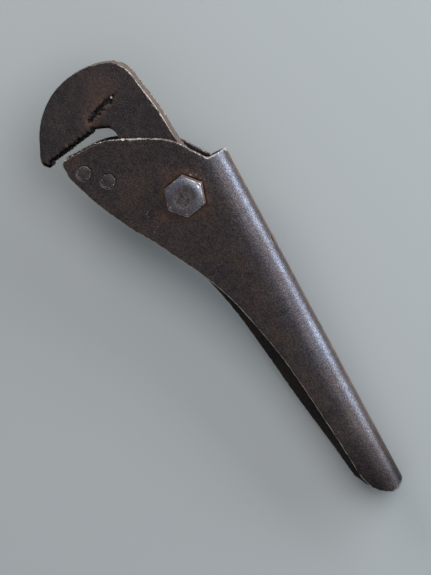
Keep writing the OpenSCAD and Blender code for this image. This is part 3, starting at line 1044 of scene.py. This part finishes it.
def darkened_steel(name, tones, rust, bare, shine, wear_mm, relief_mm, chip_glint="#cfc5bb"):
    """tones are the skin's three colours, bare that of rubbed edges, and chip_glint that of
    flecks, painted pale as a glint; shine is the oxide's roughness; wear_mm is how far bare metal
    reaches from an edge, and relief_mm is how high the relief stands."""
    material = bpy.data.materials.new(name)
    material.use_nodes = True
    tree = material.node_tree
    surface = tree.nodes["Principled BSDF"]
    place = add(tree, "ShaderNodeTexCoord", out="Object")
    skin, mottle, grain, grainy = oxide_skin(tree, place, tones)
    skin, rusty, side_lit_share = rust_and_side_light(tree, place, skin, mottle, rust)
    skin = burnish_sheen_seams_and_shade(tree, skin, grainy)
    skin, worn, scratched = bare_metal(tree, skin, mottle, grain, bare, wear_mm, chip_glint)
    tree.links.new(skin, surface.inputs["Base Color"])

    dull = add(tree, "ShaderNodeMath", {0: rusty, 1: side_lit_share}, operation="MAXIMUM")
    dull = add(tree, "ShaderNodeMath", {0: dull, 1: scratched}, operation="MAXIMUM")
    metal = add(tree, "ShaderNodeMath", {0: dull, 1: -0.6, 2: 0.9}, operation="MULTIPLY_ADD")
    tree.links.new(metal, surface.inputs["Metallic"])
    rough = add(tree, "ShaderNodeMapRange", {"Value": mottle, "From Min": 0.3, "From Max": 0.7,
                                             "To Min": shine - 0.05, "To Max": shine + 0.07})
    rough = add(tree, "ShaderNodeMath", {0: dull, 1: 0.25, 2: rough}, operation="MULTIPLY_ADD")
    rough = add(tree, "ShaderNodeMath", {0: worn, 1: -0.1, 2: rough}, operation="MULTIPLY_ADD")
    tree.links.new(rough, surface.inputs["Roughness"])

    height = add(tree, "ShaderNodeMath", {0: grain, 1: 0.7, 2: mottle}, operation="MULTIPLY_ADD")
    height = add(tree, "ShaderNodeMath", {0: rusty, 1: 0.3, 2: height}, operation="MULTIPLY_ADD")
    relief = add(tree, "ShaderNodeBump", {"Height": height, "Distance": relief_mm * MM})
    tree.links.new(relief, surface.inputs["Normal"])
    return material


# sheet steel with a brown-black patina, handled until it has a soft satin shine
patina = darkened_steel("patinated pressed sheet steel", ("#473d3d", "#524540", "#594b42"),
                        "#5a3b29", "#c2b8af", 0.38, 0.5, 0.12)
print(patina.name, "has", len(patina.node_tree.nodes), "nodes")

# %% [markdown]
# The other pieces take the same skin in their own colours.

# %% Other finishes
# drop-forged steel that kept its grey-black scale, rougher than the sheet
forged = darkened_steel("drop-forged steel with scale", ("#413a3b", "#4a413f", "#554840"),
                        "#573b2a", "#b8aca1", 0.43, 0.5, 0.16)
# soft rivet steel, hammered flush and darkened like the sheet round it
riveted = darkened_steel("hammered rivet steel", ("#504747", "#5a4f4b", "#655851"),
                         "#553a28", "#8f857d", 0.42, 0.25, 0.10, chip_glint="#8d837b")
# bolt steel whose zinc has worn to a dull grey, the palest of the finishes
bolted = darkened_steel("worn zinc on bolt steel", ("#685f60", "#766d6d", "#857b7a"),
                        "#332926", "#d6cdc6", 0.32, 0.3, 0.10)
# turned bronze under a film of black oil, so only a dark brown gleam is left
oily = darkened_steel("oily turned bronze", ("#5a4632", "#6b5439", "#775f42"),
                      "#33281e", "#a58a5c", 0.35, 0.3, 0.05)
# spring steel, blued by its heat treatment: blue-black, with a clean gleam
blued = darkened_steel("blued spring steel", ("#2a2b33", "#33343c", "#3b3a3c"),
                       "#4b3526", "#8b8a8c", 0.33, 0.3, 0.05)

finishes = [(handle, patina), (hook, forged), (heel, forged), (bolt, bolted), (nut, bolted),
            (washer, bolted), (spring, blued), (spring_rivet, riveted), (bushing, oily)]
finishes += [(rivet, riveted) for rivet in rivets]
for piece, finish in finishes:
    piece.data.materials.clear()
    piece.data.materials.append(finish)
print("finishes:", sorted({finish.name for piece, finish in finishes}))

# %% Floor finish
# a plain matt board: pale and without shine, so the shadow reads clearly
pale = bpy.data.materials.new("pale matt board")
pale.use_nodes = True
pale.node_tree.nodes["Principled BSDF"].inputs["Base Color"].default_value = srgb("#b4b5b3")
pale.node_tree.nodes["Principled BSDF"].inputs["Roughness"].default_value = 0.9
floor.data.materials.append(pale)
print("floor finish:", pale.name)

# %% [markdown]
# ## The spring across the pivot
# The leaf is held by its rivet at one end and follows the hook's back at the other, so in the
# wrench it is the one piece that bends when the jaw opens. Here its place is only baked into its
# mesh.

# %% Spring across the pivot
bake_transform(spring)
